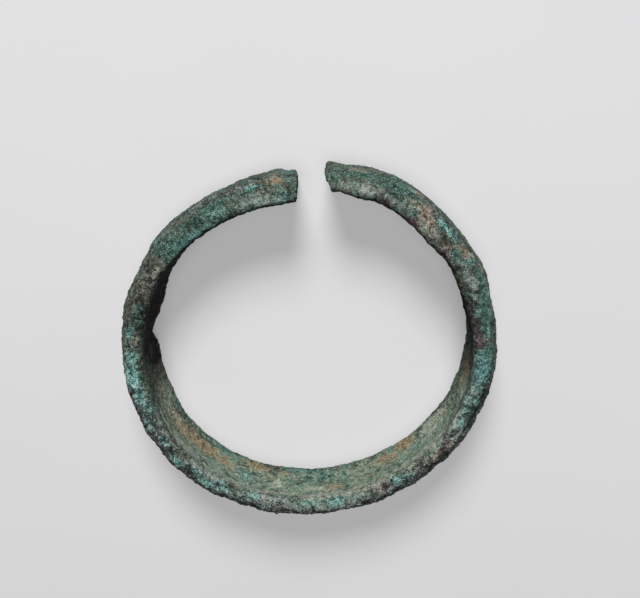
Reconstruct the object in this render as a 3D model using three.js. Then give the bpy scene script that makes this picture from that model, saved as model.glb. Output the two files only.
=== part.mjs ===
// Open bronze bracelet, cast in one piece, worn and crusted.
// Millimetres, with the hoop lying flat on its back rim: Z is the axis of the hoop.
// Angles are degrees round the hoop, clockwise seen from above, from the middle of the gap.
// The gap looks towards +Y, so 90 is +X, 180 lies opposite the gap and 270 is -X.

import * as THREE from 'three';
import { LoftGeometry } from 'three/addons/geometries/LoftGeometry.js';

// Driving dimensions of the band
const OUTER_DIAMETER = 70;
const BAND_WIDTH = 13.6;
const CROWN_THICKNESS = 5;
const RIM_THICKNESS = 2.4;
const INNER_DISH = 0.9;
const RIM_CHAMFER = 0.4;

// The open ends
const GAP_WIDTH = 4.8;
const END_ROUNDING = 0.5;
const LEFT_SLANT = 0.7;
const END_REACH = 14;

// Long axis of the oval and the slower swings that came with bending and wear
const SWINGS = [
  { waves: 2, swing: 0.93, peak: 65 },
  { waves: 3, swing: 0.14, peak: 23 },
  { waves: 4, swing: 0.29, peak: 23.5 },
  { waves: 5, swing: 0.16, peak: 17 },
];

// The wall is a little thicker on one side of the gap
const WALL_SWING = 0.044;
const WALL_PEAK = 330;

// Dents and swellings: middle, half length, face, rim it belongs to, and shift outwards
const LUMPS = [
  { at: 5, reach: 10.5, face: 'inner', rim: 'front', shift: 1.3 },
  { at: 22, reach: 14, face: 'inner', rim: 'front', shift: 0.35 },
  { at: 43, reach: 11, face: 'inner', rim: 'front', shift: -0.4 },
  { at: 56, reach: 8, face: 'inner', rim: 'front', shift: 0.25 },
  { at: 82, reach: 12, face: 'inner', rim: 'back', shift: 0.4 },
  { at: 243, reach: 9, face: 'inner', rim: 'back', shift: -0.2 },
  { at: 283, reach: 10, face: 'inner', rim: 'back', shift: -0.5 },
  { at: 303, reach: 12, face: 'inner', rim: 'both', shift: -0.2 },
  { at: 356, reach: 19, face: 'inner', rim: 'front', shift: -0.8 },
  { at: 4, reach: 5, face: 'outer', rim: 'both', shift: 0.25 },
  { at: 62, reach: 12, face: 'outer', rim: 'both', shift: 0.5 },
  { at: 243, reach: 7, face: 'outer', rim: 'both', shift: 0.2 },
  { at: 294.5, reach: 9.5, face: 'outer', rim: 'both', shift: -0.42 },
  { at: 307.5, reach: 7, face: 'outer', rim: 'both', shift: 0.35 },
  { at: 356, reach: 8, face: 'outer', rim: 'both', shift: -1.1 },
];

// Low waves that corrosion left on the faces
const RIPPLES = [
  { waves: 11, lean: 1.4, swing: 0.05 },
  { waves: 17, lean: -2.1, swing: 0.04 },
  { waves: 26, lean: 2.6, swing: 0.03 },
];
const RIM_RIPPLE = 0.008;

// The notch broken out of the back rim, and the corner broken off the right end
const CHIP = { at: 271, before: 7, after: 6, depth: 3.2, slope: 0.12 };
const BROKEN_CORNER = { setback: 2.4, depth: 3.7, share: 0.6 };

// Fineness of the faceted skin
const STATION_STEP = 2.5;
const FINE_STEP = 1;
const CURVE_POINTS = 10;

const INNER_RADIUS = OUTER_DIAMETER / 2 - CROWN_THICKNESS;
const radians = THREE.MathUtils.degToRad;
const clamp = THREE.MathUtils.clamp;
const lerp = THREE.MathUtils.lerp;

// Cross-section of the band: x is depth from the inner face, y is height above the back rim
function bandSection() {
  const bow = RIM_THICKNESS + (CROWN_THICKNESS - RIM_THICKNESS) * 4 / 3;
  const shoulder = 0.05 * BAND_WIDTH;
  const section = new THREE.Shape();
  section.moveTo(RIM_CHAMFER, 0);
  section.lineTo(RIM_THICKNESS, 0);
  section.bezierCurveTo(bow, shoulder, bow, BAND_WIDTH - shoulder, RIM_THICKNESS, BAND_WIDTH);
  section.lineTo(RIM_CHAMFER, BAND_WIDTH);
  section.lineTo(0, BAND_WIDTH - RIM_CHAMFER);
  section.quadraticCurveTo(2 * INNER_DISH, BAND_WIDTH / 2, 0, RIM_CHAMFER);
  return section.getPoints(CURVE_POINTS);
}

// Smooth hump that is 1 at its middle and 0 beyond its half length
function hump(angle, at, reach) {
  const away = Math.abs(THREE.MathUtils.euclideanModulo(angle - at + 180, 360) - 180);
  return away < reach ? (1 + Math.cos(Math.PI * away / reach)) / 2 : 0;
}

// Radius of the inner face at its rims
function innerRadius(angle) {
  let radius = INNER_RADIUS;
  for (const { waves, swing, peak } of SWINGS) {
    radius += swing * Math.cos(waves * radians(angle - peak));
  }
  return radius;
}

// How much of a shift on the outer face a point takes: 0 on the inner face, 1 on the outer
function outerShare(depth) {
  return clamp((depth - INNER_DISH) / (RIM_THICKNESS - INNER_DISH), 0, 1);
}

function rimShare(rim, rise) {
  if (rim === 'front') return rise;
  return rim === 'back' ? 1 - rise : 1;
}

// Outward shift of a point by the dents, swellings and ripples
function wear(angle, depth, rise) {
  const outer = outerShare(depth);
  let shift = 0;
  for (const lump of LUMPS) {
    const faceShare = lump.face === 'outer' ? outer : 1 - outer;
    const strength = faceShare * rimShare(lump.rim, rise);
    shift += lump.shift * strength * hump(angle, lump.at, lump.reach);
  }
  for (const { waves, lean, swing } of RIPPLES) {
    shift += swing * Math.sin(waves * radians(angle) + lean * rise + 2 * outer);
  }
  return shift;
}

// Height of the broken back rim above the sound one
function chipHeight(angle) {
  const side = angle < CHIP.at ? CHIP.before : CHIP.after;
  return CHIP.depth * clamp(1 - Math.abs(angle - CHIP.at) / side, 0, 1);
}

// Depth of the dished inner face at a height
function dishDepth(height) {
  const rise = height / BAND_WIDTH;
  return 4 * INNER_DISH * rise * (1 - rise);
}

// Lifts the section points that lie inside the notch on to its broken face
function chipped(point, angle) {
  const floor = chipHeight(angle);
  if (point.y >= floor) return point.clone();
  const height = floor - CHIP.slope * (floor - point.y);
  return new THREE.Vector2(Math.max(point.x, dishDepth(floor)), height);
}

// The ends are cut straight across, so they lie on a plane beside the gap and not on a radius
function endAngle(radius) {
  return THREE.MathUtils.radToDeg(Math.asin(GAP_WIDTH / 2 / radius));
}

// Degrees that the broken corner of the right end draws back, most at the inner front edge
function cornerSetback(depth, rise) {
  const inward = clamp(1 - depth / BROKEN_CORNER.depth, 0, 1);
  return BROKEN_CORNER.setback * inward * lerp(BROKEN_CORNER.share, 1, rise);
}

// Degrees that the slanted left end draws back, most at the back rim
function slantSetback(rise) {
  return THREE.MathUtils.radToDeg(LEFT_SLANT * (1 - rise) / INNER_RADIUS);
}

// Rounding of the edges of the end faces: how far a section draws in near an end
function endDrawIn(distance) {
  const left = clamp(END_ROUNDING - distance, 0, END_ROUNDING);
  return END_ROUNDING - Math.sqrt(END_ROUNDING ** 2 - left ** 2);
}

// Position of one section point at one station
function skinPoint(sectionPoint, angle) {
  const start = endAngle(INNER_RADIUS + CROWN_THICKNESS);
  const fromEnd = Math.min(angle - start, 360 - start - angle);
  const drawIn = endDrawIn(radians(fromEnd) * INNER_RADIUS);
  const point = chipped(sectionPoint, angle);
  const rise = point.y / BAND_WIDTH;
  const thickness = CROWN_THICKNESS * 0.5;
  const depth = lerp(point.x, thickness, drawIn / thickness);
  const height = lerp(point.y, BAND_WIDTH / 2, 2 * drawIn / BAND_WIDTH);
  const wall = 1 + WALL_SWING * Math.cos(radians(angle - WALL_PEAK));
  const radius = innerRadius(angle) + depth * wall + wear(angle, point.x, rise);
  const ripple = 1 + RIM_RIPPLE * Math.sin(radians(19 * angle));
  const fade = clamp(1 - fromEnd / END_REACH, 0, 1);
  let turn = (endAngle(radius) - start) * fade;
  turn += (angle < 180 ? cornerSetback(point.x, rise) : slantSetback(rise)) * fade;
  const along = radians(angle < 180 ? angle + turn : angle - turn);
  return new THREE.Vector3(radius * Math.sin(along), radius * Math.cos(along), height * ripple);
}

// Angles at which the band is sectioned: close together at the ends and at the notch
function stations() {
  const start = endAngle(INNER_RADIUS + CROWN_THICKNESS);
  const end = 360 - start;
  const rounding = THREE.MathUtils.radToDeg(END_ROUNDING / INNER_RADIUS);
  const list = [start, start + 0.15 * rounding, start + 0.5 * rounding];
  let angle = start + rounding;
  while (angle < end - 1.5 * rounding) {
    list.push(angle);
    const nearChip = angle > CHIP.at - CHIP.before - FINE_STEP && angle < CHIP.at + CHIP.after;
    angle += nearChip ? FINE_STEP : STATION_STEP;
  }
  list.push(end - rounding, end - 0.5 * rounding, end - 0.15 * rounding, end);
  return list;
}

// Skin over all the sections, moved so that the hoop is centred over its foot
function braceletGeometry() {
  const section = bandSection();
  const sections = stations().map((angle) => section.map((point) => skinPoint(point, angle)));
  const geometry = new LoftGeometry(sections, { capStart: true, capEnd: true });
  geometry.computeBoundingBox();
  const middle = geometry.boundingBox.getCenter(new THREE.Vector3());
  geometry.translate(-middle.x, -middle.y, -geometry.boundingBox.min.z);
  return geometry;
}

const bronze = new THREE.MeshStandardMaterial({ color: 0x3f5f52, metalness: 0.2, roughness: 0.85 });
bronze.name = 'patinated_bronze';

const bracelet = new THREE.Mesh(braceletGeometry(), bronze);
bracelet.name = 'bracelet';

const group = new THREE.Group();
group.name = 'bronze_bracelet';
group.add(bracelet);

export default group;
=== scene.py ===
# %% [markdown]
# # An open bronze bracelet, worn and crusted
# The real piece is one cast band of bronze, bent to an open hoop and green from long burial.
# It lies flat on a pale floor, on its back rim, and the camera looks down on it.
# Blender dresses the plain solid that comes with the frame: it keeps the solid's place and size,
# and adds the crust, the grain and the coloured patina.

# %% Load the frame
import math

import bpy
import numpy as np
from mathutils import Euler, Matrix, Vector


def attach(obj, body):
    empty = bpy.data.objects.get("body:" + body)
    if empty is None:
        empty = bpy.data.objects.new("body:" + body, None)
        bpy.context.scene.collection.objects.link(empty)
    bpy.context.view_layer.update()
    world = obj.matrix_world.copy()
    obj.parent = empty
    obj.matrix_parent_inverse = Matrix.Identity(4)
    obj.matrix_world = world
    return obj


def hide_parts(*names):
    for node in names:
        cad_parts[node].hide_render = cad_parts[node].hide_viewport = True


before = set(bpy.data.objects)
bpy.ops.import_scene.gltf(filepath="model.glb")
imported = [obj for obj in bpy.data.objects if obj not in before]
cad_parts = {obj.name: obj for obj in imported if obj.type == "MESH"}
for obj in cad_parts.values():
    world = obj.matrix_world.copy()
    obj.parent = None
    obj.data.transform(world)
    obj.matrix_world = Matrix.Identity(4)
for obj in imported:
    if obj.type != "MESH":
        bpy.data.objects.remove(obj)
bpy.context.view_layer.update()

# %% [markdown]
# ## The camera
# A camera only 164 mm away gives the hoop its perspective: the far rim looks smaller than the
# near one. The camera stands on the side of the gap, so the inner face shows at the bottom and
# the outer face at the top. It could be placed by eye, but its place and turn were worked out
# from the outlines of the two rims, because a few degrees already change how much of the inner
# face shows.

# %% Set up the camera
MM = 0.001
CAMERA_PLACE = (6.86, 49.85, 156.23)
CAMERA_TURN = (-15.308, 2.276, 1.451)
LENS, SENSOR_WIDTH = 46.125, 36

bpy.ops.object.select_all(action="DESELECT")
bpy.ops.object.camera_add()
camera = bpy.context.object
camera.name = "looking_down"
camera.location = Vector(CAMERA_PLACE) * MM
camera.rotation_euler = Euler([math.radians(turn) for turn in CAMERA_TURN])
camera.data.lens = LENS
camera.data.sensor_width = SENSOR_WIDTH
camera.data.clip_start = 0.005
bpy.context.scene.camera = camera
print("camera distance in mm:", round(camera.location.length / MM, 1))

# %% [markdown]
# ## The band, first as a plain ring
# The band is thin and wide, with the same section all the way round, so it could be a bent
# strip, a curve with a bevel, or a section spun round an axis. Spin is used here: it makes even
# rows of faces, and the faces that it starts from close both ends. The ring is spun coarse and
# then subdivided into the small faces that the crust needs.
# The grid stands upright beside the gap: its width is the wall, its height is the band.

# %% Sizes of the band
OUTER_DIAMETER = 70
BAND_WIDTH = 13.6
CROWN = 5
RIM = 2.4
DISH = 0.9
FRONT_ROUND = 1.1
BACK_ROUND = 0.4
GAP = 4.8
INNER_RADIUS = OUTER_DIAMETER / 2 - CROWN

CUTS = 4
WALL_CELLS, BAND_CELLS, ROUND_CELLS = 2 * CUTS, 14 * CUTS, 190 * CUTS

GAP_HALF = math.degrees(math.asin(GAP / 2 / (INNER_RADIUS + CROWN)))
print("half the gap in degrees:", round(GAP_HALF, 2))

# %% Spin the upright grid round the hoop
start_turn = math.radians(GAP_HALF)
middle = INNER_RADIUS + CROWN / 2
bpy.ops.object.select_all(action="DESELECT")
bpy.ops.mesh.primitive_grid_add(
    x_subdivisions=WALL_CELLS // CUTS,
    y_subdivisions=BAND_CELLS // CUTS,
    size=MM,
    location=(middle * math.sin(start_turn) * MM, middle * math.cos(start_turn) * MM,
              BAND_WIDTH / 2 * MM),
    rotation=(math.pi / 2, 0, math.pi / 2 - start_turn),
)
band = bpy.context.object
band.name = "bronze_band"
band.data.name = "bronze_band"
band.scale = (CROWN, BAND_WIDTH, 1)
bpy.ops.object.transform_apply(location=True, rotation=True, scale=True)

bpy.ops.object.mode_set(mode="EDIT")
bpy.ops.mesh.select_all(action="SELECT")
bpy.ops.mesh.spin(steps=ROUND_CELLS // CUTS, angle=2 * math.pi - 2 * start_turn,
                  center=(0, 0, 0), axis=(0, 0, 1))
bpy.ops.mesh.select_all(action="SELECT")
bpy.ops.mesh.remove_doubles(threshold=0.001 * MM)
bpy.ops.mesh.normals_make_consistent(inside=False)
bpy.ops.mesh.subdivide(number_cuts=CUTS - 1)
bpy.ops.object.mode_set(mode="OBJECT")
print("faces of the plain ring:", len(band.data.polygons))

# %% [markdown]
# ## Where each point sits on the band
# Every later step asks three things of a point: its angle round the hoop, how far it lies
# through the wall, and how far up the band. They are read once from the plain ring.
# Angles run clockwise from the middle of the gap, seen from above.

# %% Read wall, band and angle from the plain ring
def read_points(piece):
    """Corner points of a piece in mm."""
    flat = np.empty(len(piece.data.vertices) * 3)
    piece.data.vertices.foreach_get("co", flat)
    return flat.reshape(-1, 3) / MM


def write_points(piece, points):
    piece.data.vertices.foreach_set("co", (points * MM).ravel())
    piece.data.update()


def step(values, cells):
    """Shares from 0 to 1, set exactly on the rows that the grid has."""
    return np.clip(np.round(values * cells) / cells, 0, 1)


ring = read_points(band)
ring_angle = np.degrees(np.arctan2(ring[:, 0], ring[:, 1])) % 360
wall = step((np.hypot(ring[:, 0], ring[:, 1]) - INNER_RADIUS) / CROWN, WALL_CELLS)
up = step(ring[:, 2] / BAND_WIDTH, BAND_CELLS)
along = step((ring_angle - GAP_HALF) / (360 - 2 * GAP_HALF), ROUND_CELLS)
print("rows:", len(np.unique(wall)), len(np.unique(up)), len(np.unique(along)))

# %% [markdown]
# ## Section of the band
# Outside the band bows out from rims 2.4 mm thick to a crown of 5 mm, inside it is a little
# dished, and the inner edges are worn round, the front one most: its lit or shaded rounding
# draws a thin light or dark line along the rim. The edges could get a bevel, but a formula for
# the whole section keeps the rows even. The outer bow is a Bezier curve and the dish a parabola,
# the same two curves that the solid has.

# %% Bow, dish and rounded rims
SHOULDER = 0.05
WALL_CROWDING = 1.25


def edge_drop(depth, size):
    """How far a rim falls away beside its rounded inner edge."""
    left = 1 - np.clip(depth / size, 0, 1)
    return size * (1 - np.sqrt(1 - left ** 2))


def section(wall, up):
    """Depth from the inner face and height above the back rim, in mm."""
    wall = wall ** WALL_CROWDING
    bow = 3 * (CROWN - RIM) * 4 / 3 * up * (1 - up)
    outer_height = BAND_WIDTH * (
        3 * SHOULDER * up * (1 - up) ** 2 + 3 * (1 - SHOULDER) * up ** 2 * (1 - up) + up ** 3)
    inner_height = BACK_ROUND + (BAND_WIDTH - BACK_ROUND - FRONT_ROUND) * up
    depth = (1 - wall) * 4 * DISH * up * (1 - up) + wall * (RIM + bow)
    height = inner_height + (outer_height - inner_height) * wall
    height = np.where(up == 1, BAND_WIDTH - edge_drop(depth, FRONT_ROUND), height)
    height = np.where(up == 0, edge_drop(depth, BACK_ROUND), height)
    return depth, height


depth, height = section(wall, up)
print("thickness at the crown in mm:", round(float(np.ptp(depth[np.abs(up - 0.5) < 0.01])), 2))

# %% [markdown]
# ## Oval, dents and swellings
# Bending and wear left the hoop a slow oval, with a few dents and swellings on either face.
# They could be sculpted. Here each one is a soft hump that is added to the radius, on the inner
# or the outer face, near the front rim, the back rim or both, so that its place and size can be
# read. The ripples are low waves that corrosion left all the way round.

# %% Slow swings of the oval and single humps
SWINGS = [(2, 0.93, 65), (3, 0.14, 23), (4, 0.29, 23.5), (5, 0.16, 17)]
WALL_SWING, WALL_PEAK = 0.044, 330
LUMPS = [
    # angle, reach, face, rim, shift outwards
    (5, 10.5, "inner", "front", 1.3), (22, 14, "inner", "front", 0.35),
    (43, 11, "inner", "front", -0.4), (56, 8, "inner", "front", 0.25),
    (82, 12, "inner", "back", 0.4), (243, 9, "inner", "back", -0.2),
    (283, 10, "inner", "back", -0.5), (303, 12, "inner", "both", -0.2),
    (356, 19, "inner", "front", -0.8), (4, 5, "outer", "both", 0.25),
    (62, 12, "outer", "both", 0.5), (243, 7, "outer", "both", 0.2),
    (294.5, 9.5, "outer", "both", -0.42), (307.5, 7, "outer", "both", 0.35),
    (356, 8, "outer", "both", -1.1),
    # small ones, too slight for the plain solid
    (349.4, 3, "outer", "both", 0.16), (352.2, 2.4, "outer", "both", -0.2),
    (354.8, 1.8, "outer", "both", 0.12), (9, 2.6, "outer", "both", -0.14),
    (33, 3, "outer", "both", 0.12), (300.5, 3, "outer", "both", -0.12),
]
RIPPLES = [(11, 1.4, 0.05), (17, -2.1, 0.04), (26, 2.6, 0.03)]


def hump(angle, at, reach):
    """1 at the middle of a dent or swelling, 0 beyond its reach."""
    away = np.abs((angle - at + 180) % 360 - 180)
    return np.where(away < reach, (1 + np.cos(np.pi * away / reach)) / 2, 0)


def wear(angle, depth, rise):
    outer = np.clip((depth - DISH) / (RIM - DISH), 0, 1)
    near = {"front": rise, "back": 1 - rise, "both": np.ones_like(rise)}
    shift = np.zeros_like(angle)
    for at, reach, face, rim, swing in LUMPS:
        share = outer if face == "outer" else 1 - outer
        shift += swing * share * near[rim] * hump(angle, at, reach)
    for waves, lean, swing in RIPPLES:
        shift += swing * np.sin(waves * np.radians(angle) + lean * rise + 2 * outer)
    return shift


def inner_radius(angle):
    swings = [swing * np.cos(waves * np.radians(angle - peak)) for waves, swing, peak in SWINGS]
    return INNER_RADIUS + sum(swings)


quarters = np.array([0, 90, 180, 270])
print("inner radius at the quarters in mm:", np.round(inner_radius(quarters), 2))

# %% [markdown]
# ## The notch and the two ends
# A piece is broken out of the back rim on the left. Points that would lie inside the notch are
# lifted on to its broken face, which rises a little towards the outside.
# The ends are cut straight across, beside the gap. The right one has lost its inner corner,
# the left one slants a little, and the edges of both are worn round.

# %% Notch in the back rim
NOTCH_AT, NOTCH_BEFORE, NOTCH_AFTER = 271, 7, 6
NOTCH_DEPTH, NOTCH_SLOPE = 3.2, 0.12


def lift_out_of_notch(angle, depth, height):
    side = np.where(angle < NOTCH_AT, NOTCH_BEFORE, NOTCH_AFTER)
    floor = NOTCH_DEPTH * np.clip(1 - np.abs(angle - NOTCH_AT) / side, 0, 1)
    inside = height < floor
    rise = floor / BAND_WIDTH
    dish = 4 * DISH * rise * (1 - rise)
    return (np.where(inside, np.maximum(depth, dish), depth),
            np.where(inside, floor - NOTCH_SLOPE * (floor - height), height))


notch_length = math.radians(NOTCH_BEFORE + NOTCH_AFTER) * INNER_RADIUS
print("notch in mm:", round(notch_length, 1), "long,", NOTCH_DEPTH, "deep")

# %% Straight ends, broken corner and worn edges
END_ROUNDING, END_REACH = 0.5, 14
CORNER_SETBACK, CORNER_DEPTH, CORNER_SHARE = 2.4, 3.7, 0.6
LEFT_SLANT = 0.7


def end_turn(angle, from_end, radius, depth, rise):
    """Degrees that a point turns away from the gap."""
    fade = np.clip(1 - from_end / END_REACH, 0, 1)
    straight = np.degrees(np.arcsin(GAP / 2 / radius)) - GAP_HALF
    corner = CORNER_SETBACK * np.clip(1 - depth / CORNER_DEPTH, 0, 1)
    corner = corner * (CORNER_SHARE + (1 - CORNER_SHARE) * rise)
    slant = np.degrees(LEFT_SLANT * (1 - rise) / INNER_RADIUS)
    return fade * (straight + np.where(angle < 180, corner, slant))


def draw_in(from_end):
    """How far the section shrinks where the edge of an end is worn round."""
    left = np.clip(END_ROUNDING - np.radians(from_end) * INNER_RADIUS, 0, END_ROUNDING)
    return END_ROUNDING - np.sqrt(END_ROUNDING ** 2 - left ** 2)


print("drawn in at 0, 0.5 and 1 degree in mm:", np.round(draw_in(np.array([0, 0.5, 1])), 2))

# %% [markdown]
# ## From the ring to the worn band
# The worn edge of an end is only half a millimetre wide, and evenly spaced rows lie a quarter of
# a millimetre apart, too few to draw its rounding. More rows everywhere would cost too many
# faces, so the rows are crowded together beside both ends. Then every point moves once, by all
# the formulas above together.

# %% Crowd the rows together near the ends
EDGE_CROWDING, EDGE_ZONE = 0.6, 0.8
hoop_length = math.radians(360 - 2 * GAP_HALF) * INNER_RADIUS
row = along * hoop_length
crowded = row + EDGE_CROWDING * (
    np.exp(-row / EDGE_ZONE) - np.exp(-(hoop_length - row) / EDGE_ZONE) - 1)
angle = GAP_HALF + (360 - 2 * GAP_HALF) * crowded / (hoop_length - 2 * EDGE_CROWDING)
angle = np.clip(angle, GAP_HALF, 360 - GAP_HALF)
print("first rows in mm:", np.round(np.unique(np.radians(angle - GAP_HALF))[:4] * INNER_RADIUS, 2))

# %% Move every point of the ring on to the worn band
CENTRE = np.array([-0.0193, 0.4582, 0])  # middle of the worn hoop, which the solid is centred on
RIM_RIPPLE, RIM_WAVES = 0.008, 19

from_end = np.minimum(angle - GAP_HALF, 360 - GAP_HALF - angle)
lifted_depth, lifted_height = lift_out_of_notch(angle, depth, height)
rise = lifted_height / BAND_WIDTH
shrink = draw_in(from_end)
drawn_depth = lifted_depth + (CROWN / 2 - lifted_depth) * shrink / (CROWN / 2)
drawn_height = lifted_height + (BAND_WIDTH / 2 - lifted_height) * 2 * shrink / BAND_WIDTH
thicker = 1 + WALL_SWING * np.cos(np.radians(angle - WALL_PEAK))
radius = inner_radius(angle) + drawn_depth * thicker + wear(angle, lifted_depth, rise)
turn = end_turn(angle, from_end, radius, lifted_depth, rise)
place = np.radians(np.where(angle < 180, angle + turn, angle - turn))
smooth = np.stack([
    radius * np.sin(place),
    radius * np.cos(place),
    drawn_height * (1 + RIM_RIPPLE * np.sin(np.radians(RIM_WAVES * angle))),
], axis=1) - CENTRE
write_points(band, smooth)
print("worn band in mm:", np.round(np.ptp(smooth, axis=0), 2))

# %% [markdown]
# ## Where the patina changes
# Buried bronze turns several colours: blue-green and teal copper salts, ochre where earth
# stuck, dark and pale crusts, and wine-red copper oxide where the green has flaked off. Some
# patches are painted light instead: the dark and black coats hold painted shade where the band
# turns from the lamp, and the chalk coat lifts one shaded side with painted light.
# They could be painted on by hand, or left to noise alone, which never puts a patch where the
# real one has it. So each patch is given by its place on the band, as a maker would note it:
# angle, depth through the wall, height up the band, half its length and half its width in mm,
# and how strong it is.

# %% Patches of copper salts
PATCHES = {
    "turquoise": [
        (351, 1.6, 13.6, 1.4, 0.7, 0.5), (305, 4.4, 12.1, 1.3, 0.8, 1),
        (276, 2.4, 13.5, 2, 1, 0.6), (262, 2.4, 13.5, 1.1, 0.8, 1.4),
        (266, 2.2, 13.6, 2.5, 1.5, 0.7), (261, 2.6, 13.4, 2.6, 1.4, 1),
        (255, 1.9, 13.6, 2.6, 1, 0.9), (249, 1.1, 13.7, 2, 0.7, 0.6),
        (215, 2, 13.7, 1.8, 0.9, 0.6), (210, 1.2, 13.7, 1.5, 0.9, 0.9),
        (199, 0.8, 13.6, 1.3, 0.7, 1), (178, 0.9, 13.7, 2, 0.8, 0.6), (168, 1.3, 13.5, 1.4, 1, 1),
        (144, 1, 13.5, 1.3, 0.9, 0.8), (141, 1.2, 13.6, 1.3, 0.8, 0.6),
        (106, 1.4, 13.6, 2.6, 1.1, 0.7), (111, 1.3, 13.6, 1.8, 1, 0.7),
        (88, 1.3, 13.5, 1.6, 1, 0.7), (93, 1.5, 13.5, 1.6, 0.9, 0.5),
        (98, 1.7, 13.6, 1.6, 0.8, 0.5), (42, 3.9, 12.6, 1.6, 0.8, 0.7),
        (46, 3.6, 12.8, 1, 0.7, 0.7), (34, 2.2, 13.5, 1, 0.6, 0.5), (52, 1, 13.5, 1.3, 0.8, 0.5),
        (25, 4, 12.4, 0.9, 0.5, 0.8), (342, 3.8, 12.8, 1, 0.5, 0.7), (340, 3.8, 12.7, 1, 0.5, 0.7),
        (327, 2, 13.7, 1.8, 0.8, 0.5), (204, 0.9, 5.9, 2.2, 2, 0.5), (171, 0.9, 3.4, 1.4, 1, 0.5),
        (243, 2.4, 13.4, 1.2, 0.7, 0.7), (236, 1.7, 13.6, 1.2, 0.6, 0.7),
        (228, 2.2, 13.5, 1.2, 0.7, 0.7), (221, 1.3, 13.6, 1, 0.6, 0.6),
    ],
    "teal": [
        (350, 1.2, 13.6, 3, 1.2, 0.7), (308, 1, 13.7, 3, 1.2, 0.8), (315, 0.7, 13.5, 3, 1.2, 0.8),
        (321, 0.6, 13.6, 3, 1.2, 0.8), (282, 1.2, 13.5, 2.2, 1.4, 0.7),
        (222, 1.9, 13.5, 2.5, 1.2, 0.7), (159, 1.3, 13.7, 4, 1.2, 0.7),
        (165, 1, 13.5, 3, 1.2, 0.6), (175, 0.2, 13.5, 3, 1, 0.6), (67, 3.9, 12.7, 4, 2, 0.8),
        (75, 2.8, 13.3, 3, 1.8, 0.9), (60, 4.3, 12.4, 3, 1.6, 0.6), (92, 1.6, 13.6, 4, 1.8, 1),
        (99, 1.7, 13.6, 4, 1.4, 0.9), (26, 5.2, 7.6, 3, 1.4, 0.7), (29, 4.5, 10.9, 2.5, 1.4, 0.8),
        (328, 2.8, 13.5, 3, 1.6, 0.6), (204, 0.9, 6, 3.5, 3, 0.6), (240, 0.1, 0.8, 4, 1.2, 0.5),
        (214, 0.1, 1, 4, 1.2, 0.6), (183, 0, 0.7, 6, 1.4, 0.7), (133, 0.9, 5.6, 3.5, 2.5, 0.6),
        (128, 0.6, 3.4, 2.5, 1.8, 0.5), (144, 0.4, 2.4, 3.5, 2.4, 0.4), (172, 0.8, 5, 16, 5, 0.42),
        (215, 0.8, 5, 14, 5, 0.38), (130, 0.8, 6, 12, 5, 0.36),
    ],
    "emerald": [
        (5, 3, 13.3, 1.5, 1.2, 0.6), (10, 4.5, 12.3, 3, 1.2, 0.8),
        (18.5, 4.5, 11.6, 3.5, 1.2, 0.9), (26, 4, 12.3, 3.5, 1.4, 0.9),
        (26, 2.6, 13.3, 2, 0.8, 0.6), (40.5, 2.2, 13.5, 1.6, 0.7, 0.6),
        (48, 4.6, 11.6, 3, 1.2, 0.6), (53.5, 2.2, 13.5, 2.5, 1, 0.7), (66, 2.6, 13.4, 4, 1.2, 0.6),
        (309, 2.3, 13.5, 3, 1.3, 0.9), (318, 3, 13.3, 4, 1.4, 0.7), (327, 3.6, 13, 4, 1.4, 0.8),
        (335, 3, 13.2, 3, 1, 0.5), (341, 3.4, 13, 2, 0.9, 0.7), (350, 0.8, 13.5, 4, 0.8, 0.8),
        (354, 1.6, 13.4, 2, 1.4, 0.6), (340, 0.7, 13.4, 4, 0.7, 0.7), (172, 0.8, 4.6, 5, 1.6, 0.5),
    ],
    "azure": [
        (88, 1.4, 13.6, 1.8, 1, 0.8), (94, 1.8, 13.5, 3, 1.2, 0.9), (100, 2, 13.5, 2.4, 1, 0.7),
        (46, 4.2, 12.2, 2.6, 1.1, 0.9), (261, 1.9, 13.6, 2, 0.7, 0.5), (316, 1, 13.6, 3, 0.8, 0.5),
        (60, 4.9, 9, 4, 1.6, 0.5), (228, 4.9, 5, 4, 1.6, 0.5),
    ],
    "chalk_and_painted_light": [
        (12, 1.7, 13.6, 3.5, 1, 0.7), (19, 1.7, 13.6, 3.5, 1, 0.9), (26, 1.6, 13.5, 2.5, 0.8, 0.5),
        (338, 1.7, 13.6, 3, 0.9, 0.7), (345, 1.7, 13.6, 3, 1, 0.7), (45, 1.7, 13.6, 1.8, 0.8, 0.5),
        (106, 1, 13.3, 4, 1.2, 0.8), (113, 1.5, 13.6, 4, 1.1, 0.9), (63, 1.8, 13.6, 4, 1, 0.55),
        (118, 1.9, 13.6, 3, 0.9, 0.8), (120, 0.7, 13.2, 4, 0.9, 0.9), (152, 1.6, 13.6, 5, 1, 1),
        (161, 1.7, 13.6, 4, 1.2, 0.9), (167, 2, 13.5, 4, 1.1, 0.8), (173, 1.8, 13.6, 4, 0.9, 0.8),
        (181, 1.6, 13.6, 4, 0.9, 0.7), (189, 0.7, 13.3, 3, 0.8, 0.7),
        (197, 1.2, 13.5, 5, 1.1, 0.9), (205, 1.5, 13.6, 4, 1, 0.8), (213, 0.7, 13.2, 4, 0.8, 0.6),
        (221, 0.7, 13.2, 4, 0.8, 0.7), (229, 0.7, 13.2, 4, 0.7, 0.5),
        (237, 0.6, 13.2, 4, 0.7, 0.6), (171, 0.3, 11.4, 3.5, 1.2, 0.8),
        (204, 0.4, 11.2, 5, 1.4, 0.9), (214, 0.4, 11, 4, 1.3, 0.8), (226, 0.4, 10.8, 5, 1.3, 0.7),
        # on the outer face below the front rim, where it turns from the lamp: painted light that
        # lifts the shade
        (60, 4.6, 11.4, 5, 1, 0.4), (74, 4.3, 11.6, 5, 1.1, 0.5), (296, 4.4, 11.6, 5, 1, 0.3),
    ],
}

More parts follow.
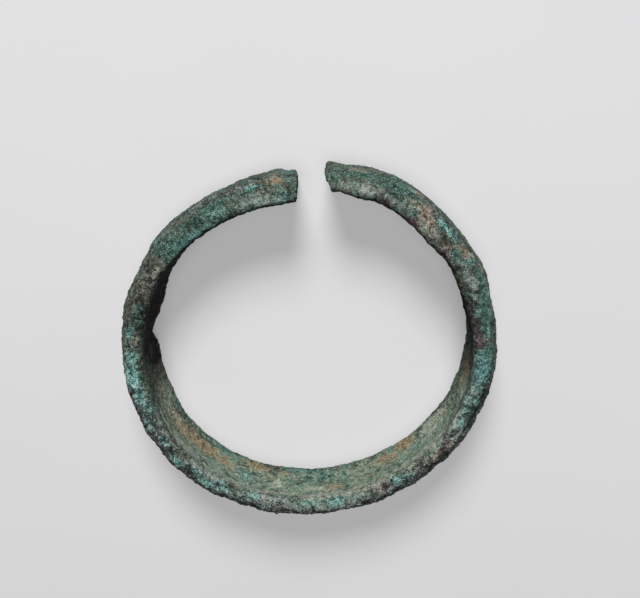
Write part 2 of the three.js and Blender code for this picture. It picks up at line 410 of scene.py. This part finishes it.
# %% Patches of earth, copper oxide and crust
PATCHES |= {
    "ochre": [
        (126, 1.8, 13.6, 3, 0.9, 0.8), (226, 0.7, 5, 4, 1.6, 0.4), (37, 2.9, 13.3, 1.8, 0.9, 0.5),
        (349, 3.7, 12.4, 1.3, 0.8, 0.7), (232, 0.8, 4.6, 4, 2.2, 0.9), (222, 0.8, 4.5, 4, 2, 0.9),
        (213, 0.6, 5, 2.8, 1.4, 0.8), (200, 0.4, 2, 2.6, 1.4, 0.9), (189, 0.5, 3.1, 2, 2.2, 0.5),
        (169, 0.8, 7.9, 3, 2.2, 0.6), (161, 0.6, 10.8, 2.4, 1.4, 0.5),
        (138, 0.4, 1.9, 2.4, 1.8, 0.9), (147, 0.5, 3.4, 3.5, 1.6, 0.7),
        (100, 0.8, 4.2, 3.5, 2, 0.6), (150, 0.8, 4, 14, 4.5, 0.38), (200, 0.8, 4, 14, 4.5, 0.34),
        (207, 0.7, 6.6, 2, 1.2, 0.6),
    ],
    "clay": [
        (14, 4.7, 10.2, 1.5, 0.8, 0.6), (32.5, 4.7, 10, 1.8, 1, 0.7),
        (17.5, 2.2, 13.5, 2.2, 0.8, 0.7), (345, 4.3, 12, 2.6, 1, 0.5), (32, 3.4, 13, 1.8, 1, 0.5),
        (37, 3.1, 13.2, 2.4, 1.4, 0.9), (40, 1.5, 13.7, 2, 0.9, 0.7),
        (44, 1.5, 13.7, 1.4, 0.8, 0.5), (48, 1.6, 13.6, 1.4, 1, 0.7), (53, 3.7, 12.7, 1.8, 1, 0.7),
        (59, 4.6, 11.6, 2, 1, 0.4), (22, 1.8, 13.5, 1.8, 0.8, 0.5), (247, 0.6, 4, 4, 4, 0.4),
    ],
    "cuprite": [
        (82, 1.1, 13.7, 1.6, 0.9, 0.9), (79, 0.7, 13.6, 1.5, 0.7, 0.8),
        (89, 0.9, 5.9, 1.2, 0.7, 0.8), (50, 0.7, 13.5, 1.4, 0.7, 1),
        (35, 0.6, 13.5, 1.5, 0.6, 0.9), (149, 1.3, 13.5, 1.4, 0.9, 0.8),
        (121, 1.3, 13.7, 1, 0.8, 0.7), (264, 0.8, 3.7, 1.6, 1.6, 0.7),
        (123, 1.8, 13.6, 1.2, 0.7, 0.6), (24, 0.8, 13.7, 1.4, 0.6, 0.6),
    ],
    "pale": [
        (299, 1.4, 13.5, 2.5, 0.9, 0.5), (274, 1.4, 13.6, 1.2, 0.8, 0.8),
        (199, 0.4, 13.6, 1.2, 0.6, 0.9), (174, 0.2, 12.5, 4.5, 0.9, 0.7),
        (164, 0.2, 12.8, 4.5, 0.9, 0.6), (152, 0, 12.9, 4.5, 1, 0.6), (136, 0.2, 12.8, 4, 1, 0.6),
        (126, 0.6, 10.9, 4.5, 1.7, 1), (197, 0.4, 11.2, 6, 1.3, 0.8),
        (186, 0.4, 11.4, 3, 1.2, 0.7), (232, 0.5, 11, 5, 1.6, 0.8), (119, 0.5, 3, 3.5, 1.4, 0.9),
        (125, 0.4, 2.6, 3, 1.4, 0.8), (238, 0.8, 4.1, 3.5, 2.4, 0.5), (216, 0.6, 9.8, 4, 2.5, 0.4),
        (191, 0.8, 6.6, 1.2, 1.4, 0.9), (207, 0.1, 12.6, 0.9, 0.6, 0.8),
        (177, 0.9, 7.7, 3, 1.4, 0.6), (113, 0.6, 13.6, 1.4, 1, 0.9),
        (124, 2.6, 13.4, 1.4, 0.9, 0.5), (136, 0.5, 10.8, 5, 1.6, 0.9),
        (147, 0.4, 11.2, 5, 1.2, 0.6), (158, 0.4, 11.2, 5, 1.1, 0.5),
        (174, 0.3, 11.4, 5, 1.1, 0.7), (209, 0.4, 11.1, 5, 1.2, 0.6),
        (221, 0.5, 10.9, 5, 1.3, 0.6), (240, 0.5, 10.6, 4, 1.4, 0.7), (126, 0.7, 4.8, 4, 2, 0.7),
        (77, 0.9, 13.6, 1, 0.9, 0.7), (40, 1.2, 13.7, 1.4, 1, 0.5), (106, 0.8, 7, 2.4, 1.6, 0.6),
    ],
}

# %% Broad coats under the small patches; the dark and black coats also hold painted shade
PATCHES |= {
    "sage": [
        (112, 0.8, 6.5, 9, 4.8, 0.6), (130, 0.8, 6.5, 12, 5, 0.8), (155, 0.8, 6.5, 14, 5, 0.9),
        (180, 0.8, 6.5, 14, 5, 0.9), (205, 0.8, 6.5, 14, 5, 0.9), (228, 0.8, 6.5, 10, 4.8, 0.7),
        (246, 0.7, 4.4, 5, 4, 0.7),
    ],
    "umber": [
        (335, 3.5, 13, 6, 1.5, 0.5), (312, 3, 13.2, 6, 1.6, 0.5), (290, 2.4, 13.5, 7, 2.4, 1),
        (271, 1.8, 13.6, 3, 1.6, 0.8), (24, 1, 13.5, 4, 0.8, 0.5), (62, 1, 13.5, 6, 0.8, 0.3),
        (259, 0.3, 2, 3, 3, 0.9), (254, 0.6, 5, 4, 6, 0.6), (300, 4.4, 11.8, 7, 1.8, 0.6),
        (322, 3.6, 12.8, 6, 1.5, 0.55), (51, 4.8, 11, 7, 2, 0.75), (304, 0.5, 4, 6, 4, 0.75),
        (316, 0.5, 9, 5, 3, 0.6), (95, 0.7, 4, 3, 5, 0.7), (54, 0.5, 9, 5, 5, 0.7),
        (42, 0.6, 4, 5, 3, 0.6), (284, 0.8, 3, 3, 2, 0.9),
    ],
    "ash": [
        (336, 4.6, 11, 6, 1.2, 0.6), (322, 4.8, 10.5, 5, 1, 0.5), (190, 1.6, 13.6, 4, 1, 0.6),
        (134, 1.6, 13.6, 5, 1, 0.7), (119, 1.4, 13.6, 3, 0.8, 0.45), (48, 4.7, 11.2, 4, 0.8, 0.5),
        (38, 4.8, 11, 4, 0.8, 0.6), (294, 1.1, 13.6, 3, 1, 0.5), (240, 1.6, 13.5, 5, 1, 0.5),
        (229, 1.6, 13.6, 5, 1, 0.4),
    ],
    # dark coat: dark crust; the strip along the outer edge under the front rim from 99° to 249°,
    # on the lower arcs that turn from the lamp, is painted shade
    "dark_crust_and_shade": [
        (249, 3.6, 12.95, 5, 0.98, 0.9), (240, 3.3, 13.05, 6, 1.15, 1),
        (229, 3.2, 13.15, 6, 1.07, 1), (217, 3.2, 13.05, 6, 0.98, 1),
        (99, 3.4, 13.05, 3, 1.07, 0.8), (69, 0.6, 13.5, 2.5, 1, 0.6), (46, 0.8, 13.7, 3, 0.7, 0.5),
        (56, 0.9, 13.6, 4, 0.6, 0.2), (204, 3.3, 13.05, 6, 0.98, 0.9),
        (188, 3.2, 13.05, 6, 1.15, 1), (177, 3.3, 13.05, 5, 0.9, 0.9),
        (152, 3.3, 13.05, 6, 0.9, 0.9), (137, 3.2, 13.05, 6, 1.23, 1),
        (119, 3.2, 13.05, 6, 1.07, 1), (108, 3.3, 13.05, 4, 0.98, 0.8),
    ],
    # black coat: on the inner walls of the upper arcs, near-black crust with painted shade over it
    # where the wall turns from the lamp; along the inner edge under the front rim of the upper
    # arcs, a line of painted shade
    "black_crust_and_shade": [
        (262, 0.7, 3.5, 2.2, 3.5, 0.8), (269, 0.7, 5, 3.6, 6, 0.85), (281, 0.7, 7, 6, 7, 1),
        (293, 0.6, 6, 5, 6, 0.9), (303, 0.5, 8.5, 5, 4.5, 0.75), (86, 0.8, 7, 4, 6, 0.9),
        (75, 0.7, 5, 6, 7, 1), (63, 0.6, 9, 4, 4, 0.75), (55, 0.6, 4, 4, 2.4, 0.6),
        (350, 0, 13, 7, 0.5, 0.9), (335, 0, 13, 8, 0.5, 0.9), (320, 0, 13, 8, 0.5, 0.9),
        (305, 0, 13, 8, 0.6, 0.9), (12, 0, 13, 6, 0.45, 0.8), (25, 0, 13, 6, 0.5, 0.9),
        (38, 0, 13, 7, 0.45, 0.8), (52, 0, 13, 7, 0.5, 0.9),
    ],
}

# %% [markdown]
# ## Patches on the hidden faces
# The outer face below the front rim and the inside of the upper arcs can't be seen well from
# above. Left plain they would look unfinished from the side, so they get patches of the same
# coats, at places that are made up.

# %% Patches on the outer face and inside the upper arcs
HIDDEN_PATCHES = {
    "turquoise": [
        (262, 4.6, 9.5, 4, 2.2, 0.6), (247, 4.9, 4, 2.4, 1.6, 0.6), (206, 4.8, 9.6, 2.6, 1.4, 0.6),
        (167, 4.9, 4.2, 2.4, 1.6, 0.6), (92, 4.8, 8.4, 3.5, 2, 0.6), (71, 4.9, 4.6, 2, 1.4, 0.5),
        (318, 4.9, 5, 2.4, 1.4, 0.6), (15, 4.6, 4, 1.8, 1.2, 0.6), (335, 0.8, 5, 2, 1.4, 0.5),
        (20, 0.8, 5.4, 1.8, 1.4, 0.5),
    ],
    "ochre": [
        (280, 4.8, 6, 3.2, 1.9, 0.5), (183, 5, 5.4, 3.2, 2, 0.45), (117, 4.9, 5, 2.8, 1.8, 0.5),
        (345, 4.8, 5.6, 2.6, 1.5, 0.5), (34, 0.8, 4, 2.4, 1.6, 0.5), (191, 5, 8.6, 1.4, 1, 0.5),
    ],
    "clay": [
        (232, 4.9, 8, 3.4, 2, 0.6), (146, 4.9, 7.6, 3.6, 2.1, 0.55), (58, 4.9, 6.6, 3.2, 2, 0.6),
        (344, 0.8, 8, 3, 1.7, 0.5), (300, 4.9, 7, 2.8, 1.8, 0.5), (8, 4.7, 6, 2.2, 1.6, 0.5),
    ],
    "dark_crust_and_shade": [
        (255, 4.8, 6.6, 5, 1.8, 0.6), (220, 4.9, 3.6, 5, 1.6, 0.7), (196, 4.9, 8.8, 4, 1.6, 0.6),
        (156, 4.9, 9.4, 5, 1.6, 0.6), (131, 4.9, 3.4, 5, 1.8, 0.7), (104, 4.9, 6.8, 4, 1.8, 0.6),
        (80, 4.9, 2.8, 4, 1.4, 0.6), (305, 4.9, 3, 5, 1.6, 0.6), (30, 4.9, 3, 4, 1.4, 0.6),
        (325, 0.8, 3, 5, 2, 0.6), (48, 0.8, 7, 5, 2.4, 0.7), (8, 0.8, 3, 3, 2, 0.6),
    ],
    "teal": [
        (290, 4.9, 8.6, 6, 2.4, 0.6), (240, 4.9, 6, 6, 2.4, 0.6), (176, 4.9, 7.6, 6, 2.4, 0.6),
        (125, 4.9, 7.6, 6, 2.4, 0.6), (355, 4.8, 7.6, 4, 2.2, 0.6), (48, 4.9, 8, 5, 2, 0.5),
        (315, 0.8, 8, 6, 3, 0.6), (30, 0.8, 9, 5, 2.4, 0.6), (350, 0.8, 3, 4, 2, 0.6),
    ],
}
for name, patches in HIDDEN_PATCHES.items():
    PATCHES[name] += patches
print("patches:", sum(len(patches) for patches in PATCHES.values()))

# %% [markdown]
# ## From patches to masks
# A mask is one number on each point of the mesh, kept as a point attribute, which a material
# reads like a painted mask. In the middle of a patch it is the patch's strength, and it fades to
# nothing outwards. It fades fast through the wall, so that a coat on the inner face doesn't come
# out on the outer. One more mask, grit, says how grainy the skin is: most under the dark, ashy
# and turquoise coats, and more outside and far from the gap.

# %% Turn the patches into masks on the points
THIN = 2
FADE = 0.7
RIM_FROM = 12.6
GRIT, GRIT_OUTSIDE, GRIT_FAR, GRIT_CRUST = 0.4, 0.15, 0.15, 0.3
TURQUOISE_SHARE = 0.6


def patch_mask(patches):
    """Strongest patch at each point, fading out at about twice its size."""
    strongest = np.zeros(len(angle))
    for at, deep, high, half_length, half_width, strength in patches:
        arc = np.radians((angle - at + 180) % 360 - 180) * INNER_RADIUS
        through = (lifted_depth - deep) / min(half_width, THIN)
        across = (lifted_height - high) / half_width
        distance = (arc / half_length) ** 2 + through ** 2 + across ** 2
        strongest = np.maximum(strongest, strength * np.exp(-FADE * distance))
    return strongest


def store_mask(piece, name, values):
    layer = piece.data.attributes.new(name, "FLOAT", "POINT")
    layer.data.foreach_set("value", values.astype(np.float32))


masks = {name: patch_mask(patches) for name, patches in PATCHES.items()}
outside = np.clip(np.maximum(lifted_depth - DISH, lifted_height - RIM_FROM), 0, 1)
far_from_gap = (1 - np.cos(np.radians(angle))) / 2
# the dark coat in this sum also holds painted shade along the outer edge of the lower arcs
crust_and_shade_cover = np.clip(masks["dark_crust_and_shade"] + masks["ash"] + TURQUOISE_SHARE * masks["turquoise"], 0, 1)
masks["grit"] = (
    GRIT + (GRIT_OUTSIDE + GRIT_FAR * far_from_gap) * outside + GRIT_CRUST * crust_and_shade_cover)
for name, values in masks.items():
    store_mask(band, name, values)
    print(name, "covers", round(100 * float((values > 0.5).mean()), 1), "% of the points")

# %% [markdown]
# ## The crust
# Corrosion left swellings of a few millimetres, lumps of about one, and grains below that.
# They could be sculpted or painted, but three Displace modifiers with noise textures give the
# same even growth all over and can be read as sizes. The crust is thicker where the turquoise,
# dark and ashy coats lie, so a vertex group weakens it on the smoother, bare places.

# %% Weights of the crust
BARE, CRUSTED = 0.55, 0.85
LEAST = 0.25
# the dark coat here also holds painted shade along the outer edge of the lower arcs
salt_and_shade_cover = np.clip(masks["turquoise"] + masks["dark_crust_and_shade"] + masks["ash"], 0, 1)
thickness = np.clip(LEAST + masks["grit"], 0, 1) * (BARE + (CRUSTED - BARE) * salt_and_shade_cover)
group = band.vertex_groups.new(name="crust")
for level in np.unique(np.round(thickness, 2)):
    chosen = np.flatnonzero(np.round(thickness, 2) == level)
    group.add(chosen.tolist(), float(level), "REPLACE")
print("mean weight of the crust:", round(float(thickness.mean()), 2))

# %% Displace by swellings, lumps and grains
CRUST = {
    # growth: size in mm, strength in mm, depth of the noise
    "swellings": (3.6, 0.85, 1), "lumps": (1.3, 0.95, 2), "grains": (0.6, 0.75, 1),
}


def displace(piece, name, size, strength, noise_depth):
    """Moves the skin in and out by a cloudy noise texture."""
    texture = bpy.data.textures.new(name, "CLOUDS")
    texture.noise_scale = size * MM
    texture.noise_depth = noise_depth
    bpy.ops.object.modifier_add(type="DISPLACE")
    modifier = piece.modifiers[-1]
    modifier.name = name
    modifier.texture = texture
    modifier.texture_coords = "LOCAL"
    modifier.strength = strength * MM
    modifier.mid_level = 0.5
    modifier.vertex_group = "crust"
    bpy.ops.object.modifier_apply(modifier=name)
    bpy.data.textures.remove(texture)


for name, (size, strength, noise_depth) in CRUST.items():
    displace(band, name, size, strength, noise_depth)
print("crust:", ", ".join(CRUST))

# %% [markdown]
# ## A flat foot and an even top
# The band rests on its back rim, so no grain may stick out below it: what does is pressed flat.
# The tallest grains of the front rim are pressed down by more than half, because the real rim
# runs level. How far each point stands above or below the smooth band is kept as one more mask:
# it darkens the hollows with painted shade.

# %% Press the foot flat, keep the top low and store the relief as a mask
TOP_SOFT, TOP_PRESS = 13.9, 0.6
RELIEF_SPAN = 0.3
rough = read_points(band)
over = np.maximum(rough[:, 2] - TOP_SOFT, 0)
rough[:, 2] = np.maximum(rough[:, 2] - TOP_PRESS * over, 0)
write_points(band, rough)
normals = np.empty(len(rough) * 3)
band.data.vertices.foreach_get("normal", normals)
relief = ((rough - smooth) * normals.reshape(-1, 3)).sum(axis=1)
store_mask(band, "relief", np.clip(0.5 + relief / (2 * RELIEF_SPAN), 0, 1))
bpy.ops.object.shade_smooth()
print("relief in mm:", np.round(np.percentile(relief, [1, 50, 99]), 2))
print("triangles:", sum(len(face.vertices) - 2 for face in band.data.polygons))

# %% [markdown]
# ## Writing shader maths in plain lines
# The patina is a stack of masks, and a mask is only a number on each point of the surface.
# The nodes could be placed one by one, but long chains are hard to read. A small class holds
# one socket and turns +, - and * into Math nodes, so a mask reads like a formula. A second class
# makes all other nodes: their type first, then settings, then inputs.

# %% A socket that takes part in sums, and a bench that makes nodes
class Mask:
    """One number socket that can be added, subtracted and multiplied."""

    def __init__(self, bench, socket):
        self.bench = bench
        self.socket = socket

    def join(self, operation, first, second):
        return self.bench.node("ShaderNodeMath", {"operation": operation}, {0: first, 1: second})

    def __add__(self, other):
        return self.join("ADD", self, other)

    def __sub__(self, other):
        return self.join("SUBTRACT", self, other)

    def __rsub__(self, other):
        return self.join("SUBTRACT", other, self)

    def __mul__(self, other):
        return self.join("MULTIPLY", self, other)

    __radd__ = __add__
    __rmul__ = __mul__


class Bench:
    """Makes the nodes of one material."""

    def __init__(self, name):
        self.material = bpy.data.materials.new(name)
        self.material.use_nodes = True
        self.material.node_tree.nodes.clear()

    def node(self, kind, settings=None, inputs=None, out=0):
        made = self.material.node_tree.nodes.new(kind)
        for key, value in (settings or {}).items():
            setattr(made, key, value)
        for key, value in (inputs or {}).items():
            if isinstance(value, Mask):
                self.material.node_tree.links.new(value.socket, made.inputs[key])
            else:
                made.inputs[key].default_value = value
        return Mask(self, made.outputs[out]) if made.outputs else made


# %% Short names for the nodes that the patina uses most
def noise(bench, place, size, detail=2, roughness=0.5, warp=0.0):
    """Cloudy noise around 0.5, with features of about the given size in mm."""
    return bench.node("ShaderNodeTexNoise", {"noise_dimensions": "3D"}, {
        "Vector": place, "Scale": 1 / size, "Detail": detail,
        "Roughness": roughness, "Distortion": warp})


def between(bench, value, low, high):
    """0 below low, 1 above high, soft in between."""
    return bench.node("ShaderNodeMapRange", {"interpolation_type": "SMOOTHSTEP"}, {
        "Value": value, "From Min": low, "From Max": high})


def mix(bench, mask, under, over):
    """Lays one colour over another where the mask says so."""
    return bench.node("ShaderNodeMix", {"data_type": "RGBA"}, {
        0: mask, 6: under, 7: over}, out=2)


def paint(red, green, blue):
    """Colour from 0 to 255 as on a colour card, made linear for the shader."""
    values = np.array([red, green, blue]) / 255
    linear = np.where(values <= 0.04045, values / 12.92, ((values + 0.055) / 1.055) ** 2.4)
    return (*linear.tolist(), 1.0)


print("half grey, made linear:", round(paint(128, 128, 128)[0], 3))

# %% [markdown]
# ## The patina
# Under everything lies dark, brownish metal. Green salts cover most of it in clouds, and the
# named coats lie on top with torn edges. Then come grains: pale ones that stand up, which also
# serve as painted glints of light, and dark pits between them. An image could be projected on
# the band, but noise of the right sizes holds up from all sides. A surface like this is dull, so
# it is rough all over, and only the dark coat and the wine-red oxide keep a little sheen.

# %% Ground of the patina: brownish metal and clouds of green
NOISES = {
    # noise: size in mm, detail, roughness, warp
    "clouds": (4.0, 3, 0.6, 0.0), "streaks": (1.6, 4, 0.65, 0.6), "flecks": (0.9, 4, 0.7, 0.0),
    "crumbs": (0.36, 2, 0.6, 0.0), "specks": (0.22, 1, 0.6, 0.0),
}
FLECK_TINT, CRUMB_TINT, SPECK_TINT, TINT_EDGES = 0.55, 0.25, 0.2, (0.38, 0.62)
METAL_DEEP, METAL_LIGHT, METAL_EDGES = paint(48, 52, 44), paint(84, 82, 68), (0.4, 0.62)
GREEN_DEEP, GREEN_LIGHT, GREEN_EDGES = paint(24, 54, 47), paint(84, 108, 97), (0.36, 0.62)

bench = Bench("patinated_bronze")
spot = bench.node("ShaderNodeTexCoord", out="Object")
spot = bench.node("ShaderNodeVectorMath", {"operation": "SCALE"}, {0: spot, "Scale": 1 / MM})

clouds, streaks, flecks, crumbs, specks = [
    noise(bench, spot, *settings) for settings in NOISES.values()]
tint = between(
    bench, flecks * FLECK_TINT + crumbs * CRUMB_TINT + specks * SPECK_TINT, *TINT_EDGES)

ground = mix(bench, between(bench, clouds, *METAL_EDGES), METAL_DEEP, METAL_LIGHT)
greens = mix(bench, tint, GREEN_DEEP, GREEN_LIGHT)
colour = mix(bench, between(bench, streaks, *GREEN_EDGES), ground, greens)
print("nodes so far:", len(bench.material.node_tree.nodes))

# %% The named coats
TORN_SIZES = {"crumbly": 0.5, "ragged": 1.0, "cloudy": 2.2}
COATS = {
    # coat: kind of edge, how opaque, its deep colour, its light colour
    "sage": ("cloudy", 0.8, paint(72, 106, 90), paint(148, 160, 140)),
    "umber": ("cloudy", 0.8, paint(40, 38, 31), paint(92, 87, 73)),
    "teal": ("cloudy", 0.75, paint(26, 72, 64), paint(86, 126, 115)),
    "azure": ("ragged", 0.7, paint(20, 56, 62), paint(88, 134, 140)),
    "emerald": ("cloudy", 0.8, paint(20, 48, 42), paint(64, 98, 86)),
    "ochre": ("ragged", 0.65, paint(104, 84, 60), paint(166, 139, 104)),
    "clay": ("ragged", 0.6, paint(104, 92, 78), paint(160, 144, 126)),
    "pale": ("crumbly", 0.7, paint(114, 122, 103), paint(182, 183, 166)),
    # pale chalky crust, and painted light on the shaded outer face at 60°, 74° and 296°
    "chalk_and_painted_light": ("cloudy", 0.7, paint(102, 115, 105), paint(158, 167, 158)),
    "ash": ("crumbly", 0.65, paint(32, 34, 34), paint(130, 131, 129)),
    # dark crust, and painted shade along the outer edge of the lower arcs
    "dark_crust_and_shade": ("ragged", 0.88, paint(10, 12, 12), paint(72, 76, 74)),
    "turquoise": ("ragged", 0.8, paint(22, 70, 68), paint(140, 192, 184)),
    "cuprite": ("ragged", 0.8, paint(32, 14, 24), paint(92, 48, 66)),
    # black crust, with painted shade on the inner walls and along the inner edge of the upper arcs
    "black_crust_and_shade": ("ragged", 0.95, paint(6, 5, 5), paint(33, 29, 26)),
}
print("coats:", ", ".join(COATS))

# %% Lay the coats on with torn edges
TEAR, FRAY = 1.6, 0.4
EDGE_START, EDGE_FULL = 0.22, 0.66

torn = {}
for kind, size in TORN_SIZES.items():
    torn[kind] = noise(bench, spot, size, detail=3, roughness=0.7) - 0.5
covers = {}
for name, (kind, opacity, deep, light) in COATS.items():
    painted = bench.node("ShaderNodeAttribute", {"attribute_name": name}, out="Fac")
    edge = torn[kind] * TEAR + (crumbs - 0.5) * FRAY
    covers[name] = between(bench, painted + edge, EDGE_START, EDGE_FULL)
    coat = mix(bench, tint, deep, light)
    colour = mix(bench, covers[name] * opacity, colour, coat)
print("nodes so far:", len(bench.material.node_tree.nodes))

# %% Grains, pits and painted shade in the hollows; the pale grains also serve as painted glints
# pale grains of salt, which also serve as painted glints: their colour, cover and noise range
GRAIN_AND_GLINT_COLOUR, GRAIN_AND_GLINT_COVER, GRAIN_AND_GLINT_EDGES = paint(184, 196, 188), 0.55, (0.56, 0.7)
PIT_COLOUR, PIT_EDGES = paint(10, 12, 11), (0.46, 0.3)
# painted shade in the hollows: its colour, how strongly it covers, and the relief where it starts
# and is full
HOLLOW_SHADE_COLOUR, HOLLOW_SHADE_COVER, HOLLOW_SHADE_EDGES = paint(18, 21, 19), 0.75, (0.5, 0.15)
CLUSTERING, PIT_SPECKS = 0.5, 0.5
FEWER_ON_BLACK_CRUST_AND_SHADE, MORE_ON_TURQUOISE = 0.85, 0.4

gritty = bench.node("ShaderNodeAttribute", {"attribute_name": "grit"}, out="Fac")
relief_mask = bench.node("ShaderNodeAttribute", {"attribute_name": "relief"}, out="Fac")
clusters = (flecks - 0.5) * CLUSTERING
# pale grains of salt, also standing in for tiny sparkles as painted glints
pale_grains_and_glints = between(bench, specks + clusters, *GRAIN_AND_GLINT_EDGES)
pale_grains_and_glints = pale_grains_and_glints * (1 - FEWER_ON_BLACK_CRUST_AND_SHADE * covers["black_crust_and_shade"])
pale_grains_and_glints = pale_grains_and_glints * (gritty + covers["turquoise"] * MORE_ON_TURQUOISE)
dark_pits = between(
    bench, crumbs + (specks - 0.5) * PIT_SPECKS + clusters, *PIT_EDGES) * gritty
# painted shade: the deeper a hollow of the crust, the darker it is painted
shaded_hollows = between(bench, relief_mask, *HOLLOW_SHADE_EDGES)
colour = mix(bench, pale_grains_and_glints * GRAIN_AND_GLINT_COVER, colour, GRAIN_AND_GLINT_COLOUR)
colour = mix(bench, dark_pits, colour, PIT_COLOUR)
colour = mix(bench, shaded_hollows * HOLLOW_SHADE_COVER, colour, HOLLOW_SHADE_COLOUR)
print("nodes so far:", len(bench.material.node_tree.nodes))

# %% Relief too fine for the mesh, and the shader itself
BUMP_STRENGTH, BUMP_HEIGHT, CRUMB_BUMP, SPECK_BUMP = 0.9, 0.65, 0.6, 0.4
ROUGHNESS, DARK_SHEEN, OXIDE_SHEEN = 0.95, 0.25, 0.3
SPECULAR = 0.2

fine = (crumbs * CRUMB_BUMP + specks * SPECK_BUMP) * gritty
bump = bench.node("ShaderNodeBump", None, {
    "Height": fine, "Strength": BUMP_STRENGTH, "Distance": BUMP_HEIGHT * MM})
dull = ROUGHNESS - covers["dark_crust_and_shade"] * DARK_SHEEN - covers["cuprite"] * OXIDE_SHEEN
skin = bench.node("ShaderNodeBsdfPrincipled", None, {
    "Base Color": colour, "Roughness": dull, "Normal": bump, "Metallic": 0.0,
    "Specular IOR Level": SPECULAR})
bench.node("ShaderNodeOutputMaterial", None, {"Surface": skin})
band.data.materials.clear()
band.data.materials.append(bench.material)
print("nodes of the patina:", len(bench.material.node_tree.nodes))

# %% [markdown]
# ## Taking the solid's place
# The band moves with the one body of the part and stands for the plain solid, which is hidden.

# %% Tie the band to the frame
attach(band, "root")
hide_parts("bracelet")
print(band.name, "rides on root and stands for bracelet")

# %% [markdown]
# ## Floor and light
# A pale floor without pattern lets the dark metal stand out. It glows a little, as a light
# table does, which keeps the shadow inside the hoop pale. One soft lamp slants in from the side
# of the gap: it lights the rims and the inner face opposite and brings out the grain. A weaker
# one overhead lightens the shadow further, and a dim surround keeps the shaded side readable. A
# sun lamp would be simpler, but as it comes its shadow has hard edges.

# %% Pale floor
FLOOR_SIZE, MOTTLE_SIZE = 4, 0.05
FLOOR_DEEP, FLOOR_LIGHT = paint(166, 165, 167), paint(172, 171, 172)
GLOW_COLOUR, GLOW = (1, 0.99, 1, 1), 0.25

bpy.ops.object.select_all(action="DESELECT")
bpy.ops.mesh.primitive_plane_add(size=FLOOR_SIZE, location=(0, 0, 0))
floor = bpy.context.object
floor.name = "pale_floor"
plaster = Bench("pale_plaster")
floor_spot = plaster.node("ShaderNodeTexCoord", out="Object")
mottle = noise(plaster, floor_spot, MOTTLE_SIZE)
wash = mix(plaster, mottle, FLOOR_DEEP, FLOOR_LIGHT)
matt = plaster.node("ShaderNodeBsdfPrincipled", None, {
    "Base Color": wash, "Roughness": 0.9,
    "Emission Color": GLOW_COLOUR, "Emission Strength": GLOW})
plaster.node("ShaderNodeOutputMaterial", None, {"Surface": matt})
floor.data.materials.append(plaster.material)
print("floor in metres:", FLOOR_SIZE)

# %% Two soft lamps and a dim surround
LAMPS = {
    # lamp: direction, distance and size in metres, watts
    "slanting_lamp": ((-0.06, 0.77, 0.64), 0.9, 0.36, 9.6),
    "overhead_lamp": ((0, 0, 1), 1.0, 0.5, 3.8),
}
SURROUND_COLOUR, SURROUND = (0.86, 0.88, 0.92, 1), 0.05


def soft_lamp(name, way, distance, size, energy):
    """A round lamp that looks at the bracelet from a direction."""
    way = Vector(way).normalized()
    bpy.ops.object.light_add(type="AREA", location=way * distance)
    lamp = bpy.context.object
    lamp.name = name
    lamp.rotation_euler = way.to_track_quat("Z", "Y").to_euler()
    lamp.data.shape = "DISK"
    lamp.data.size = size
    lamp.data.energy = energy


for name, (way, distance, size, energy) in LAMPS.items():
    soft_lamp(name, way, distance, size, energy)

world = bpy.data.worlds.new("dim_surround")
world.use_nodes = True
world.node_tree.nodes["Background"].inputs["Color"].default_value = SURROUND_COLOUR
world.node_tree.nodes["Background"].inputs["Strength"].default_value = SURROUND
bpy.context.scene.world = world
bpy.context.scene.view_settings.view_transform = "Standard"
print("lamps:", ", ".join(LAMPS))
